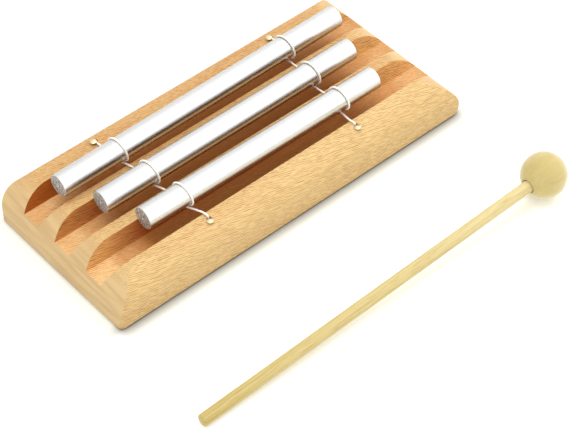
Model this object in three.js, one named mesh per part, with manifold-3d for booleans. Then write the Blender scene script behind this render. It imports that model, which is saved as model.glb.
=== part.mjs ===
// Chime bar: three aluminium rods, lashed by two elastic cords across the channels of a wooden block,
// and the wooden mallet that lies in front of it.
// Millimetres. +X runs along the rods, +Y to the back and +Z up.
// The origin is the middle of the block's underside.

import * as THREE from 'three';
import { mergeVertices } from 'three/addons/utils/BufferGeometryUtils.js';
import Module from 'manifold-3d';

// Sizes of the block, whose four top edges are rounded over
const blockLength = 242;
const blockWidth = 106.5;
const blockHeight = 26;
const endRound = 23;
const frontRound = 15;
const backRound = 8;
const footRound = 1.5;
const cornerRound = 4; // of the four upright corners

// Sizes of the three channels, which slope outwards to the top and run out through both ends
const channelPitch = 27.3;
const channelDepth = 10;
const channelFloorWidth = 12.6;
const channelTopWidth = 20;
const middleChannelY = 0.9;

// Sizes of the rods, cut from one round bar to three lengths
const rodDiameter = 13.3;
const rodChamfer = 0.5;
const rodLift = 0.5; // height of the rods over the block's top
const longRodLength = 198;
const middleRodLength = 176;
const shortRodLength = 160.6;
const longRodX = -0.7;
const middleRodX = -2;
const shortRodX = -0.3;
const longRodInset = -2.2; // how far the rod lies off the middle line of its channel
const shortRodInset = 2.26;
const longRodTurn = THREE.MathUtils.degToRad(0.86);
const middleRodTurn = THREE.MathUtils.degToRad(0.33);
const shortRodTurn = THREE.MathUtils.degToRad(-0.44);

// Sizes of the cords, which go once round each rod
const cordDiameter = 1.3;
const clearance = 0.3; // between pieces that touch
const loopAdvance = 2.6; // along the rod, from one pass under it to the next
const loopLean = 0.6; // how far the top of a loop leans to the left

// Sizes of the drilled holes that take the cord ends, and of the nails that hold them there
const holeDiameter = 3.6;
const holeDepth = 9;
const nailHeadDiameter = 3.7;
const nailHeadEdge = 0.25;
const nailHeadDome = 0.7;
const nailShankDiameter = 1.4;
const nailLength = 8;
const nailHoleDepth = 9;
const backNailInset = 9.55; // from the block's back edge
const frontNailInset = 10.25; // from its front edge
const backLeftNailX = -62.8;
const backRightNailX = 62.5;
const frontLeftNailX = -52;
const frontRightNailX = 52;

// Sizes and place of the mallet
const headDiameter = 26.1;
const headBoreDepth = 15;
const headMouthRound = 0.6;
const stickDiameter = 6.9;
const buttRound = 1.2;
const malletReach = 238.9; // from the stick's butt to the middle of the head
const malletX = 111.45; // middle of the head
const malletY = -127.27;
const malletTurn = THREE.MathUtils.degToRad(-0.19);

// How finely round shapes are cut into facets
const roundSteps = 12;
const cornerSteps = 5;
const footSteps = 3;
const rodSides = 36;
const holeSides = 20;
const nailSides = 16;
const domeSteps = 4;
const stickSides = 24;
const headSides = 36;
const headSteps = 24;
const cordSides = 8;
const loopSteps = 24;

// One overrun serves every cut
const overrun = 2;

const rodRadius = rodDiameter / 2;
const cordRadius = cordDiameter / 2;
const rodHeight = blockHeight + rodLift + rodRadius;
const loopRadius = rodRadius + clearance + cordRadius;
const ridgeCordRise = clearance + cordRadius; // of a cord's middle over the wood that it crosses

const wasm = await Module();
wasm.setup();

const beech = new THREE.MeshStandardMaterial({ color: '#dcaa6c', roughness: 0.55, metalness: 0 });
const aluminium = new THREE.MeshStandardMaterial({ color: '#d9dadc', roughness: 0.3, metalness: 1 });
const whiteCord = new THREE.MeshStandardMaterial({ color: '#f2ece4', roughness: 0.8, metalness: 0 });
const nickel = new THREE.MeshStandardMaterial({ color: '#e6e2d8', roughness: 0.2, metalness: 1 });
const paleWood = new THREE.MeshStandardMaterial({ color: '#ecdca6', roughness: 0.6, metalness: 0 });

const group = new THREE.Group();

function addPiece(name, geometry, material, parent = group) {
  const piece = new THREE.Mesh(geometry, material);
  piece.name = name;
  parent.add(piece);
  return piece;
}

// Geometry as a solid that can be joined and cut

function toSolid(geometry) {
  const bare = geometry.clone();
  bare.deleteAttribute('normal');
  bare.deleteAttribute('uv');
  const merged = mergeVertices(bare);
  return new wasm.Manifold(new wasm.Mesh({
    numProp: 3,
    vertProperties: new Float32Array(merged.attributes.position.array),
    triVerts: new Uint32Array(merged.index.array),
  }));
}

function toGeometry(solid) {
  const mesh = solid.getMesh();
  const geometry = new THREE.BufferGeometry();
  geometry.setAttribute('position', new THREE.BufferAttribute(mesh.vertProperties, 3));
  geometry.setIndex(new THREE.BufferAttribute(mesh.triVerts, 1));
  geometry.computeVertexNormals();
  return geometry;
}

// Points of an arc, from one angle to another

function arc(x, y, radius, from, to, steps) {
  return Array.from({ length: steps + 1 }, (_, i) => {
    const angle = from + ((to - from) * i) / steps;
    return new THREE.Vector2(x + radius * Math.cos(angle), y + radius * Math.sin(angle));
  });
}

// An outline that is flat below and above, with rounded feet and a round-over at each top corner,
// no larger than the wall under it allows

function slabOutline(low, high, lowWanted, highWanted) {
  const right = Math.PI / 2;
  const wall = blockHeight - footRound;
  const lowRound = Math.min(lowWanted, wall);
  const highRound = Math.min(highWanted, wall);
  return [
    ...arc(low + footRound, footRound, footRound, -2 * right, -right, footSteps),
    ...arc(high - footRound, footRound, footRound, -right, 0, footSteps),
    ...arc(high - highRound, blockHeight - highRound, highRound, 0, right, roundSteps),
    ...arc(low + lowRound, blockHeight - lowRound, lowRound, right, 2 * right, roundSteps),
  ];
}

// An outline pushed out to a length, centred on the plane that it was drawn in.
// along is the direction it is pushed in, and across the direction of its first coordinate.

function slab(outline, length, across, along) {
  const geometry = new THREE.ExtrudeGeometry(new THREE.Shape(outline), {
    depth: length,
    bevelEnabled: false,
  });
  geometry.translate(0, 0, -length / 2);
  const up = new THREE.Vector3(0, 0, 1);
  return geometry.applyMatrix4(new THREE.Matrix4().makeBasis(across, up, along));
}

// The block's outline seen from above, with its corners rounded, pushed up through its whole height

function uprightSlab() {
  const right = Math.PI / 2;
  const x = blockLength / 2 - cornerRound;
  const y = blockWidth / 2 - cornerRound;
  const outline = [
    ...arc(x, y, cornerRound, 0, right, cornerSteps),
    ...arc(-x, y, cornerRound, right, 2 * right, cornerSteps),
    ...arc(-x, -y, cornerRound, 2 * right, 3 * right, cornerSteps),
    ...arc(x, -y, cornerRound, 3 * right, 4 * right, cornerSteps),
  ];
  const geometry = new THREE.ExtrudeGeometry(new THREE.Shape(outline), {
    depth: blockHeight + 2 * overrun,
    bevelEnabled: false,
  });
  return geometry.translate(0, 0, -overrun);
}

const xAxis = new THREE.Vector3(1, 0, 0);
const yAxis = new THREE.Vector3(0, 1, 0);

// An upright cylinder between two heights

function upright(x, y, radius, bottom, top) {
  const geometry = new THREE.CylinderGeometry(radius, radius, top - bottom, holeSides);
  geometry.rotateX(Math.PI / 2);
  return geometry.translate(x, y, (top + bottom) / 2);
}

// Height and slope of the block's top at a distance from the middle, over the front and back round-overs

function topAt(y) {
  const round = y < 0 ? frontRound : backRound;
  const past = Math.max(0, Math.abs(y) - (blockWidth / 2 - round));
  const slope = Math.asin(past / round);
  return { height: blockHeight - round * (1 - Math.cos(slope)), slope: y < 0 ? slope : -slope };
}

// Anchors: a nail, the drilled hole beside it, and the place in that hole where the cord goes down.
// The offsets are shares of the nail head's radius.

const nailHeadRadius = nailHeadDiameter / 2;
const backHoleShares = [1.08, 0.6];
const backCordShares = [1.46, 0.38];
const frontHoleShares = [0.49, 1.14];
const frontCordShares = [0.27, 1.49];

function anchor(name, x, y, holeShares, cordShares) {
  return {
    name,
    x,
    y,
    ...topAt(y),
    hole: holeShares.map((share) => share * nailHeadRadius),
    cord: cordShares.map((share) => share * nailHeadRadius),
  };
}

const backNailY = blockWidth / 2 - backNailInset;
const frontNailY = frontNailInset - blockWidth / 2;
const backLeft = anchor('back_left', backLeftNailX, backNailY, backHoleShares, backCordShares);
const backRight = anchor('back_right', backRightNailX, backNailY, backHoleShares, backCordShares);
const frontLeft = anchor('front_left', frontLeftNailX, frontNailY, frontHoleShares, frontCordShares);
const frontRight = anchor('front_right', frontRightNailX, frontNailY, frontHoleShares, frontCordShares);
const anchors = [backLeft, backRight, frontLeft, frontRight];

// The block, which is what a slab rounded at its ends, one rounded along its sides and one with round
// corners have in common

const channelYs = [1, 0, -1].map((step) => middleChannelY + step * channelPitch);

function channelOutline(y) {
  const flare = (channelTopWidth - channelFloorWidth) / 2 / channelDepth;
  const floor = blockHeight - channelDepth;
  const mouth = channelTopWidth / 2 + flare * overrun;
  return [
    new THREE.Vector2(y - channelFloorWidth / 2, floor),
    new THREE.Vector2(y + channelFloorWidth / 2, floor),
    new THREE.Vector2(y + mouth, blockHeight + overrun),
    new THREE.Vector2(y - mouth, blockHeight + overrun),
  ];
}

function buildBlock() {
  const ends = slabOutline(-blockLength / 2, blockLength / 2, endRound, endRound);
  const sides = slabOutline(-blockWidth / 2, blockWidth / 2, frontRound, backRound);
  const acrossBlock = slab(ends, blockWidth + overrun, xAxis, yAxis.clone().negate());
  const alongBlock = slab(sides, blockLength + overrun, yAxis, xAxis);
  let solid = toSolid(acrossBlock).intersect(toSolid(alongBlock)).intersect(toSolid(uprightSlab()));
  for (const y of channelYs) {
    solid = solid.subtract(toSolid(slab(channelOutline(y), blockLength + overrun, yAxis, xAxis)));
  }
  for (const { x, y, height, slope, hole } of anchors) {
    const top = blockHeight + overrun;
    const cordHole = upright(x + hole[0], y + hole[1], holeDiameter / 2, blockHeight - holeDepth, top);
    const nailHole = upright(0, 0, nailShankDiameter / 2 + clearance, -nailHoleDepth, overrun);
    nailHole.rotateX(slope).translate(x, y, height);
    solid = solid.subtract(toSolid(cordHole)).subtract(toSolid(nailHole));
  }
  return toGeometry(solid);
}

// The rods

const rods = [
  { name: 'rod_long', length: longRodLength, x: longRodX, y: channelYs[0] + longRodInset, turn: longRodTurn },
  { name: 'rod_middle', length: middleRodLength, x: middleRodX, y: channelYs[1], turn: middleRodTurn },
  { name: 'rod_short', length: shortRodLength, x: shortRodX, y: channelYs[2] + shortRodInset, turn: shortRodTurn },
];

function buildRod(length) {
  const rim = rodRadius - rodChamfer;
  const profile = [
    new THREE.Vector2(0, -length / 2),
    new THREE.Vector2(rim, -length / 2),
    new THREE.Vector2(rodRadius, rodChamfer - length / 2),
    new THREE.Vector2(rodRadius, length / 2 - rodChamfer),
    new THREE.Vector2(rim, length / 2),
    new THREE.Vector2(0, length / 2),
  ];
  return new THREE.LatheGeometry(profile, rodSides).rotateZ(-Math.PI / 2);
}

// The cords: from a hole at the back, under the first rod, up its front, over it and under it again,
// on to the next rod in the same way, and down a hole at the front

class Route extends THREE.CatmullRomCurve3 {
  // Cross-sections stand on the route's own points, so that a bend gets as many as it needs.
  getUtoTmapping(u) {
    return u;
  }
}

// Points of each cord end, from the bottom of its hole. The first two numbers are steps from where the
// cord goes down, and the third is its height over the block's top.
const backEnd = [
  [0, 0, -5.5],
  [0, 0, -3.5],
  [0, 0, -1.6],
  [0.02, -0.02, -0.6],
  [0.07, -0.33, 0.3],
  [0.12, -0.95, 0.85],
  [0, -1.8, 0.95],
  [-0.55, -3.4, 0.95],
  [-1.25, -6.2, 0.95],
];
const frontEnd = [
  [0, 0, -4.4],
  [0, 0, -3],
  [0, 0, -1.8],
  [0, 0.02, -0.8],
  [0, 0.2, 0.1],
  [0, 0.65, 0.68],
  [0, 1.4, 0.93],
  [0.1, 3.85, 0.95],
];

function endPoints({ x, y, cord }, steps) {
  return steps.map(([dx, dy, rise]) => (
    new THREE.Vector3(x + cord[0] + dx, y + cord[1] + dy, blockHeight + rise)
  ));
}

// The line that a rod's axis follows, seen from above

function axisY(rod, x) {
  return rod.y + x * Math.tan(rod.turn);
}

// One turn round a rod. It starts and ends under the rod.

function loopPoints(rod, middleX) {
  return Array.from({ length: loopSteps + 1 }, (_, i) => {
    const angle = (2 * Math.PI * i) / loopSteps;
    const lean = loopLean * Math.sin(angle / 2) ** 2;
    const x = middleX + (loopAdvance / 2) * Math.cos(angle / 2) - lean;
    return new THREE.Vector3(
      x,
      axisY(rod, x) - loopRadius * Math.sin(angle),
      rodHeight - loopRadius * Math.cos(angle),
    );
  });
}

// Where a cord crosses the ridge between two channels, on its way from one loop to the next

function ridgePoints(from, to, ridgeY) {
  const ridgeHalf = (channelPitch - channelTopWidth) / 2;
  return [ridgeY + ridgeHalf, ridgeY - ridgeHalf].map((y) => {
    const x = THREE.MathUtils.mapLinear(y, from.y, to.y, from.x, to.x);
    return new THREE.Vector3(x, y, blockHeight + ridgeCordRise);
  });
}

function cordRoute(back, front, loopXs) {
  const loops = rods.map((rod, i) => loopPoints(rod, loopXs[i]));
  const points = [...endPoints(back, backEnd)];
  loops.forEach((loop, i) => {
    points.push(...loop);
    if (i + 1 < loops.length) {
      const ridgeY = (channelYs[i] + channelYs[i + 1]) / 2;
      points.push(...ridgePoints(loop.at(-1), loops[i + 1][0], ridgeY));
    }
  });
  return new Route([...points, ...endPoints(front, frontEnd).reverse()]);
}

function buildCord(route) {
  const outline = arc(0, 0, cordRadius, 0, 2 * Math.PI, cordSides).slice(0, cordSides);
  return new THREE.ExtrudeGeometry(new THREE.Shape(outline), {
    steps: route.points.length - 1,
    extrudePath: route,
  });
}

// The least gap between two stretches of a cord that lie well apart along it

function leastGap(route) {
  const apart = 4 * cordDiameter;
  const samples = route.getPoints(8 * route.points.length);
  const along = [0];
  samples.slice(1).forEach((point, i) => along.push(along[i] + point.distanceTo(samples[i])));
  let least = Infinity;
  for (let i = 0; i < samples.length; i += 1) {
    for (let j = i + 1; j < samples.length; j += 1) {
      if (along[j] - along[i] > apart) {
        least = Math.min(least, samples[i].distanceTo(samples[j]));
      }
    }
  }
  return { gap: least - cordDiameter, length: along.at(-1) };
}

// Middle of each loop along its rod, from the back rod to the front one
const leftLoopXs = [-59.3, -57, -54];
const rightLoopXs = [60.4, 56.9, 55.1];

// The nails, with a domed head that stands square to the wood

function buildNail() {
  const shankRadius = nailShankDiameter / 2;
  const domeRadius = (nailHeadRadius ** 2 + nailHeadDome ** 2) / (2 * nailHeadDome);
  const domeMiddle = clearance + nailHeadEdge + nailHeadDome - domeRadius;
  const spread = Math.asin(nailHeadRadius / domeRadius);
  const right = Math.PI / 2;
  const dome = arc(0, domeMiddle, domeRadius, right - spread, right, domeSteps);
  const profile = [
    new THREE.Vector2(0, -nailLength),
    new THREE.Vector2(shankRadius, -nailLength + nailShankDiameter),
    new THREE.Vector2(shankRadius, clearance),
    new THREE.Vector2(nailHeadRadius, clearance),
    ...dome.slice(0, domeSteps),
    new THREE.Vector2(0, domeMiddle + domeRadius),
  ];
  return new THREE.LatheGeometry(profile, nailSides).rotateX(Math.PI / 2);
}

// The mallet: both pieces are turned about the stick's axis, which is drawn along X from the butt

const headRadius = headDiameter / 2;
const stickRadius = stickDiameter / 2;

function buildStick() {
  const end = malletReach - headRadius + headBoreDepth - clearance;
  const right = Math.PI / 2;
  const butt = arc(stickRadius - buttRound, buttRound, buttRound, -right, 0, footSteps);
  const profile = [
    new THREE.Vector2(0, 0),
    ...butt,
    new THREE.Vector2(stickRadius, end),
    new THREE.Vector2(0, end),
  ];
  return new THREE.LatheGeometry(profile, stickSides).rotateZ(-Math.PI / 2);
}

function buildHead() {
  const boreRadius = stickRadius + clearance;
  const boreEnd = headBoreDepth - headRadius;
  const mouthAngle = Math.asin((boreRadius + headMouthRound) / headRadius);
  const mouth = -headRadius * Math.cos(mouthAngle);
  const right = Math.PI / 2;
  const profile = [
    ...arc(0, 0, headRadius, mouthAngle - right, right, headSteps).slice(0, headSteps),
    new THREE.Vector2(0, headRadius),
    new THREE.Vector2(0, boreEnd),
    new THREE.Vector2(boreRadius, boreEnd),
    new THREE.Vector2(boreRadius, mouth + headMouthRound),
  ];
  return new THREE.LatheGeometry([...profile, profile[0]], headSides).rotateZ(-Math.PI / 2);
}

// The finished group

addPiece('base_block', buildBlock(), beech);

for (const { name, length, x, y, turn } of rods) {
  const rod = addPiece(name, buildRod(length), aluminium);
  rod.rotation.z = turn;
  rod.position.set(x * Math.cos(turn), y + x * Math.sin(turn), rodHeight);
}

const routes = {
  cord_left: cordRoute(backLeft, frontLeft, leftLoopXs),
  cord_right: cordRoute(backRight, frontRight, rightLoopXs),
};
for (const [name, route] of Object.entries(routes)) {
  addPiece(name, buildCord(route), whiteCord);
  const { gap, length } = leastGap(route);
  console.log(`${name}: ${length.toFixed(1)} mm long, least gap to itself ${gap.toFixed(2)} mm`);
}

for (const { name, x, y, height, slope } of anchors) {
  const nail = addPiece(`nail_${name}`, buildNail(), nickel);
  nail.rotation.x = slope;
  nail.position.set(x, y, height);
}

const mallet = new THREE.Group();
const tilt = Math.asin((headRadius - stickRadius) / (malletReach - buttRound));
mallet.rotation.set(0, -tilt, malletTurn, 'ZYX');
mallet.position.set(malletX, malletY, headRadius);
group.add(mallet);
addPiece('mallet_stick', buildStick(), paleWood, mallet).position.x = -malletReach;
addPiece('mallet_head', buildHead(), paleWood, mallet);

export default group;
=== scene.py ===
# %% [markdown]
# # A chime bar
#
# Three aluminium rods hang in two elastic cords over the channels of a beech block, and a small wooden
# mallet lies in front. The solids come from a CAD model, which stays as it is and says where each piece
# is. This lesson gives the pieces their finer shapes, their finishes and the light of a photo studio.
#
# Everything is in metres, with +X along the rods, +Y to the back and +Z up.

# %% The frame
import math

import bmesh
import bpy
from mathutils import Matrix, Vector


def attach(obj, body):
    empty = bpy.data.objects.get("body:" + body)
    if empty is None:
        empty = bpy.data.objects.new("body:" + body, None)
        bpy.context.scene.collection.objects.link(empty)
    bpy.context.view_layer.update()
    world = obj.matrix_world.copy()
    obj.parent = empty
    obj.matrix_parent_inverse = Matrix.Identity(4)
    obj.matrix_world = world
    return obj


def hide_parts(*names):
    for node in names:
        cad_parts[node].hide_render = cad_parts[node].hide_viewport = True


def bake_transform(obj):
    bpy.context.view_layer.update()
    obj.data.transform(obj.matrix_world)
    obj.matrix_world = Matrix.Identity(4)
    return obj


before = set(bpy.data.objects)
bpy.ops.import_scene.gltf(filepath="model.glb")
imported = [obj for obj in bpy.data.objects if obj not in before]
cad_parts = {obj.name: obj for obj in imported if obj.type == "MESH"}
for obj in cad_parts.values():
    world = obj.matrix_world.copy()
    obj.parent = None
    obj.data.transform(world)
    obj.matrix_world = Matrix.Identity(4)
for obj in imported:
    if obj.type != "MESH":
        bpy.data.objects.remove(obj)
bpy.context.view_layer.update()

MM = 0.001

# %% [markdown]
# ## Working by hand, in code
#
# Blender's operators act on whatever is selected. So before each piece everything is deselected, and in
# edit mode the faces and edges to work on are picked by their place. The few helpers here do just that.

# %% Helpers for modelling
ALONG = (1, 0, 0)
UP = (0, 0, 1)

# Two places closer than this, in metres, are the same
TINY = 1e-6


def clear_selection():
    """Nothing is selected, and object mode is on."""
    if bpy.context.object and bpy.context.object.mode != "OBJECT":
        bpy.ops.object.mode_set(mode="OBJECT")
    bpy.ops.object.select_all(action="DESELECT")


def take(piece):
    """The piece alone is selected and active."""
    clear_selection()
    bpy.context.view_layer.objects.active = piece
    piece.select_set(True)


def named(name):
    """Names the primitive that was just added, and puts its place into its mesh."""
    piece = bpy.context.object
    piece.name = name
    piece.data.name = name
    bpy.ops.object.transform_apply(location=True, rotation=True, scale=True)
    return piece


def pick(piece, what, test):
    """In edit mode, selects the faces or edges of the piece that pass a test on their bmesh element."""
    take(piece)
    bpy.ops.object.mode_set(mode="EDIT")
    bpy.ops.mesh.select_mode(type="EDGE" if what == "edges" else "FACE")
    bpy.ops.mesh.select_all(action="DESELECT")
    mesh = bmesh.from_edit_mesh(piece.data)
    found = [element for element in getattr(mesh, what) if test(element)]
    for element in found:
        element.select_set(True)
    bmesh.update_edit_mesh(piece.data)
    return len(found)


def pick_all(piece):
    """In edit mode, selects every face of the piece."""
    pick(piece, "faces", lambda face: True)


def slice_at(piece, way, place, keep_above=False):
    """Slices the piece square to a way, at a place along it in millimetres. What lies before may go."""
    pick_all(piece)
    bpy.ops.mesh.bisect(plane_co=Vector(way) * place * MM, plane_no=way, clear_inner=keep_above)


def extrude_up(length):
    """Extrudes the picked edges straight up, or down by a negative length, in millimetres."""
    bpy.ops.mesh.extrude_edges_move(TRANSFORM_OT_translate={"value": (0, 0, length * MM)})


def round_picked(radius, segments, clamp=False):
    """Rounds the edges that are picked, with a radius in millimetres."""
    bpy.ops.mesh.bevel(
        offset=radius * MM, segments=segments, profile=0.5, affect="EDGES", clamp_overlap=clamp
    )


def middle(edge):
    """The middle of an edge."""
    return (edge.verts[0].co + edge.verts[1].co) / 2


def modify(piece, kind, **settings):
    """Adds a modifier with its settings and applies it."""
    take(piece)
    modifier = piece.modifiers.new(kind.title(), kind)
    for name, value in settings.items():
        setattr(modifier, name, value)
    bpy.ops.object.modifier_apply(modifier=modifier.name)


def cut(piece, cutter, operation="DIFFERENCE"):
    """Cuts the piece with another one, which is then removed."""
    modify(piece, "BOOLEAN", object=cutter, operation=operation, solver="EXACT")
    bpy.data.objects.remove(cutter)


def smooth(piece, degrees):
    """Smooth shading, with edges sharper than the angle left crisp."""
    take(piece)
    bpy.ops.object.shade_smooth_by_angle(angle=math.radians(degrees))


def triangles(piece):
    """How many triangles the piece has, counted without making them."""
    return sum(len(face.vertices) - 2 for face in piece.data.polygons)

# %% [markdown]
# ## The camera
#
# The photograph was taken from the front left, well above the table, through a long lens. Its place was
# found by fitting the block's outline, the rods and the mallet. It comes first, because everything else
# is judged through it.

# %% Camera
LENS_WIDTH = 36.0
FOCAL_LENGTH = 123.0
CAMERA_PLACE = Vector((-0.46078, -0.59581, 0.77246))
CAMERA_RIGHT = Vector((0.75668, -0.65355, -0.01761)).normalized()
CAMERA_FORWARD = Vector((0.43372, 0.52195, -0.73448)).normalized()

camera_data = bpy.data.cameras.new("studio_camera")
camera_data.sensor_width = LENS_WIDTH
camera_data.lens = FOCAL_LENGTH
camera_data.clip_start = 0.05
camera_data.clip_end = 50
camera = bpy.data.objects.new("studio_camera", camera_data)
bpy.context.scene.collection.objects.link(camera)
camera_up = CAMERA_RIGHT.cross(CAMERA_FORWARD)
axes = Matrix((CAMERA_RIGHT, camera_up, -CAMERA_FORWARD)).transposed()
camera.matrix_world = Matrix.Translation(CAMERA_PLACE) @ axes.to_4x4()
bpy.context.scene.camera = camera
print("the camera looks down by", round(math.degrees(math.asin(-CAMERA_FORWARD.z)), 1), "degrees")

# %% [markdown]
# ## Sizes shared by the pieces
#
# The block and the rods are the same sizes as in the CAD model, in millimetres. The nails' heads stand
# about a millimetre above the wood, because the cords pass under them at the back, and a gap shows under
# them at the front.

# %% Shared sizes
BLOCK_LENGTH = 242
BLOCK_WIDTH = 106.5
BLOCK_HEIGHT = 26
CHANNEL_PITCH = 27.3
CHANNEL_TOP_WIDTH = 20
CHANNEL_YS = [28.2, 0.9, -26.4]
ROD_RADIUS = 6.65
ROD_HEIGHT = 33.15
RODS = {
    "long": {"body": "long_rod", "length": 198, "x": -0.7, "y": 26, "turn": math.radians(0.86)},
    "middle": {"body": "middle_rod", "length": 176, "x": -2, "y": 0.9, "turn": math.radians(0.33)},
    "short": {"body": "short_rod", "length": 160.6, "x": -0.3, "y": -24.14, "turn": math.radians(-0.44)},
}
NAIL_BACK_Y = 43.7
NAIL_FRONT_Y = -42.6

# Where a nail is, how high the underside of its head is, and the step from it to the cord's hole
NAILS = {
    "back_left": {"x": -62.8, "y": NAIL_BACK_Y, "head": 27.22, "hole_step": (1.998, 1.11)},
    "back_right": {"x": 62.5, "y": NAIL_BACK_Y, "head": 27.22, "hole_step": (1.998, 1.11)},
    "front_left": {"x": -51.7, "y": NAIL_FRONT_Y, "head": 25.86, "hole_step": (0.95, 2.0)},
    "front_right": {"x": 52.3, "y": NAIL_FRONT_Y, "head": 25.86, "hole_step": (0.75, 1.9)},
}
print("the block is", BLOCK_LENGTH, "x", BLOCK_WIDTH, "x", BLOCK_HEIGHT, "mm")

# %% [markdown]
# ## The cords
#
# Each cord is a thin white braid over an elastic core. It comes up out of a hole in the back rail, passes
# under the edge of a nail's head that pinches it, goes once round every rod and down another hole at the
# front. A curve with a round bevel would give a plain wire, so the tube is swept in code instead: its
# rings stand closer together than the braid's strands, and every ring is pressed in between the strands.
#
# When a rod bounces, the loop round it goes with it, while the cord on the ridges stays. So each loop is
# cut at its top, where it moves fully with the rod, and on the ridges, where it doesn't move at all.

# %% Route of the cords
CORD_RADIUS = 0.58
CORD_GAP = 0.05
LOOP_RADIUS = ROD_RADIUS + CORD_GAP + CORD_RADIUS
LOOP_ADVANCE = 2.6
LOOP_LEAN = 0.6
LOOP_STEPS = 24
RIDGE_CORD_HEIGHT = BLOCK_HEIGHT + 0.8

# Steps of a cord end from where it goes down: across, back, and up from the block's top
BACK_END = [
    (0, 0, -5.5), (0, 0, -3.5), (0, 0, -1.6), (-0.02, -0.05, -0.6), (-0.12, -0.35, 0.1),
    (-0.28, -1.0, 0.6), (-0.4, -1.9, 0.62), (-0.42, -3.2, 0.72), (-0.36, -4.7, 0.85),
    (-0.3, -6.25, 0.85),
]
FRONT_END = [
    (0, 0, -4.4), (0, 0, -3), (0, 0, -1.8), (0, 0.02, -0.8), (0, 0.2, 0.1),
    (-0.03, 0.65, 0.66), (-0.12, 1.4, 0.84), (-0.5, 3.85, 0.85),
]
CORDS = {
    "left": {"back": (-61.05, 44.45), "front": (-50.7, -39.85), "loops": [-59.3, -57, -54]},
    "right": {"back": (64.25, 44.45), "front": (52.75, -40.0), "loops": [60.4, 56.9, 55.1]},
}


def rod_axis_y(rod, x):
    """Where the middle line of a turned rod is at a place along the block."""
    return rod["y"] + x * math.tan(rod["turn"])


def loop_points(rod, middle_x):
    """One turn round a rod, from under it up its front, over the top and under it again."""
    points = []
    for step in range(LOOP_STEPS + 1):
        angle = 2 * math.pi * step / LOOP_STEPS
        x = middle_x + LOOP_ADVANCE / 2 * math.cos(angle / 2) - LOOP_LEAN * math.sin(angle / 2) ** 2
        y = rod_axis_y(rod, x) - LOOP_RADIUS * math.sin(angle)
        points.append(Vector((x, y, ROD_HEIGHT - LOOP_RADIUS * math.cos(angle))))
    return points


def ridge_points(start, end, ridge_y):
    """Two points where the cord rests on the ridge between two channels."""
    half = (CHANNEL_PITCH - CHANNEL_TOP_WIDTH) / 2
    points = []
    for y in (ridge_y + half, ridge_y - half):
        x = start.x + (y - start.y) / (end.y - start.y) * (end.x - start.x)
        points.append(Vector((x, y, RIDGE_CORD_HEIGHT)))
    return points


def end_points(place, steps):
    """The points of a cord end, from down its hole to the top of the block."""
    return [Vector((place[0] + dx, place[1] + dy, BLOCK_HEIGHT + up)) for dx, dy, up in steps]


def cord_route(cord):
    """The points of a cord, and which of them are the tops of its loops and its places on the ridges."""
    points = end_points(cord["back"], BACK_END)
    loops = [loop_points(rod, x) for rod, x in zip(RODS.values(), cord["loops"])]
    tops = []
    rests = []
    for i, loop in enumerate(loops):
        tops.append(len(points) + LOOP_STEPS // 2)
        points += loop
        if i < len(loops) - 1:
            rests.append(len(points))
            points += ridge_points(loop[-1], loops[i + 1][0], (CHANNEL_YS[i] + CHANNEL_YS[i + 1]) / 2)
    points += reversed(end_points(cord["front"], FRONT_END))
    return points, tops, rests

# %% A smooth line through the route
SPAN_STEPS = 12


def smooth_line(points):
    """Points on a centripetal Catmull-Rom curve, the same curve that the CAD model uses."""
    first = 2 * points[0] - points[1]
    last = 2 * points[-1] - points[-2]
    held = [first, *points, last]
    line = []
    for a, b, c, d in zip(held, held[1:], held[2:], held[3:]):
        ab, bc, cd = (math.sqrt((q - p).length) for p, q in ((a, b), (b, c), (c, d)))
        leave = ((b - a) / ab - (c - a) / (ab + bc) + (c - b) / bc) * bc
        arrive = ((c - b) / bc - (d - b) / (bc + cd) + (d - c) / cd) * bc
        for step in range(SPAN_STEPS):
            t = step / SPAN_STEPS
            line.append(
                b + leave * t
                + (3 * (c - b) - 2 * leave - arrive) * t ** 2
                + (2 * (b - c) + leave + arrive) * t ** 3
            )
    return [*line, points[-1]]


def evenly(line, spacing):
    """The line again, with points at even distances of about the spacing."""
    along = [0.0]
    for a, b in zip(line, line[1:]):
        along.append(along[-1] + (b - a).length)
    count = max(2, round(along[-1] / spacing))
    even = []
    at = 0
    for step in range(count + 1):
        distance = along[-1] * step / count
        while at < len(line) - 2 and along[at + 1] < distance:
            at += 1
        share = (distance - along[at]) / (along[at + 1] - along[at])
        even.append(line[at].lerp(line[at + 1], min(1, share)))
    return even

# %% [markdown]
# The braid has eight strands, four that wind each way. Where a strand passes over, the surface stands at
# the full radius, and in the little valleys between the strands it lies lower. The valley depth is kept
# in an attribute too, so that the finish can paint shade down there.

# %% Braided tube
CORD_SIDES = 24
RING_SPACING = 0.24
STRANDS = 4
PICK_LENGTH = 1.5
VALLEY_DEPTH = 0.08


def strand_height(turn, distance):
    """From 0 in the valleys to 1 on top of a strand."""
    wind = 2 * math.pi * distance / (2 * PICK_LENGTH)
    one = math.cos((STRANDS * turn + wind) / 2)
    other = math.cos((STRANDS * turn - wind) / 2)
    over = 0.5 + 0.5 * math.sin(STRANDS * turn) * math.sin(wind)
    return abs(one) * over + abs(other) * (1 - over)


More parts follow.
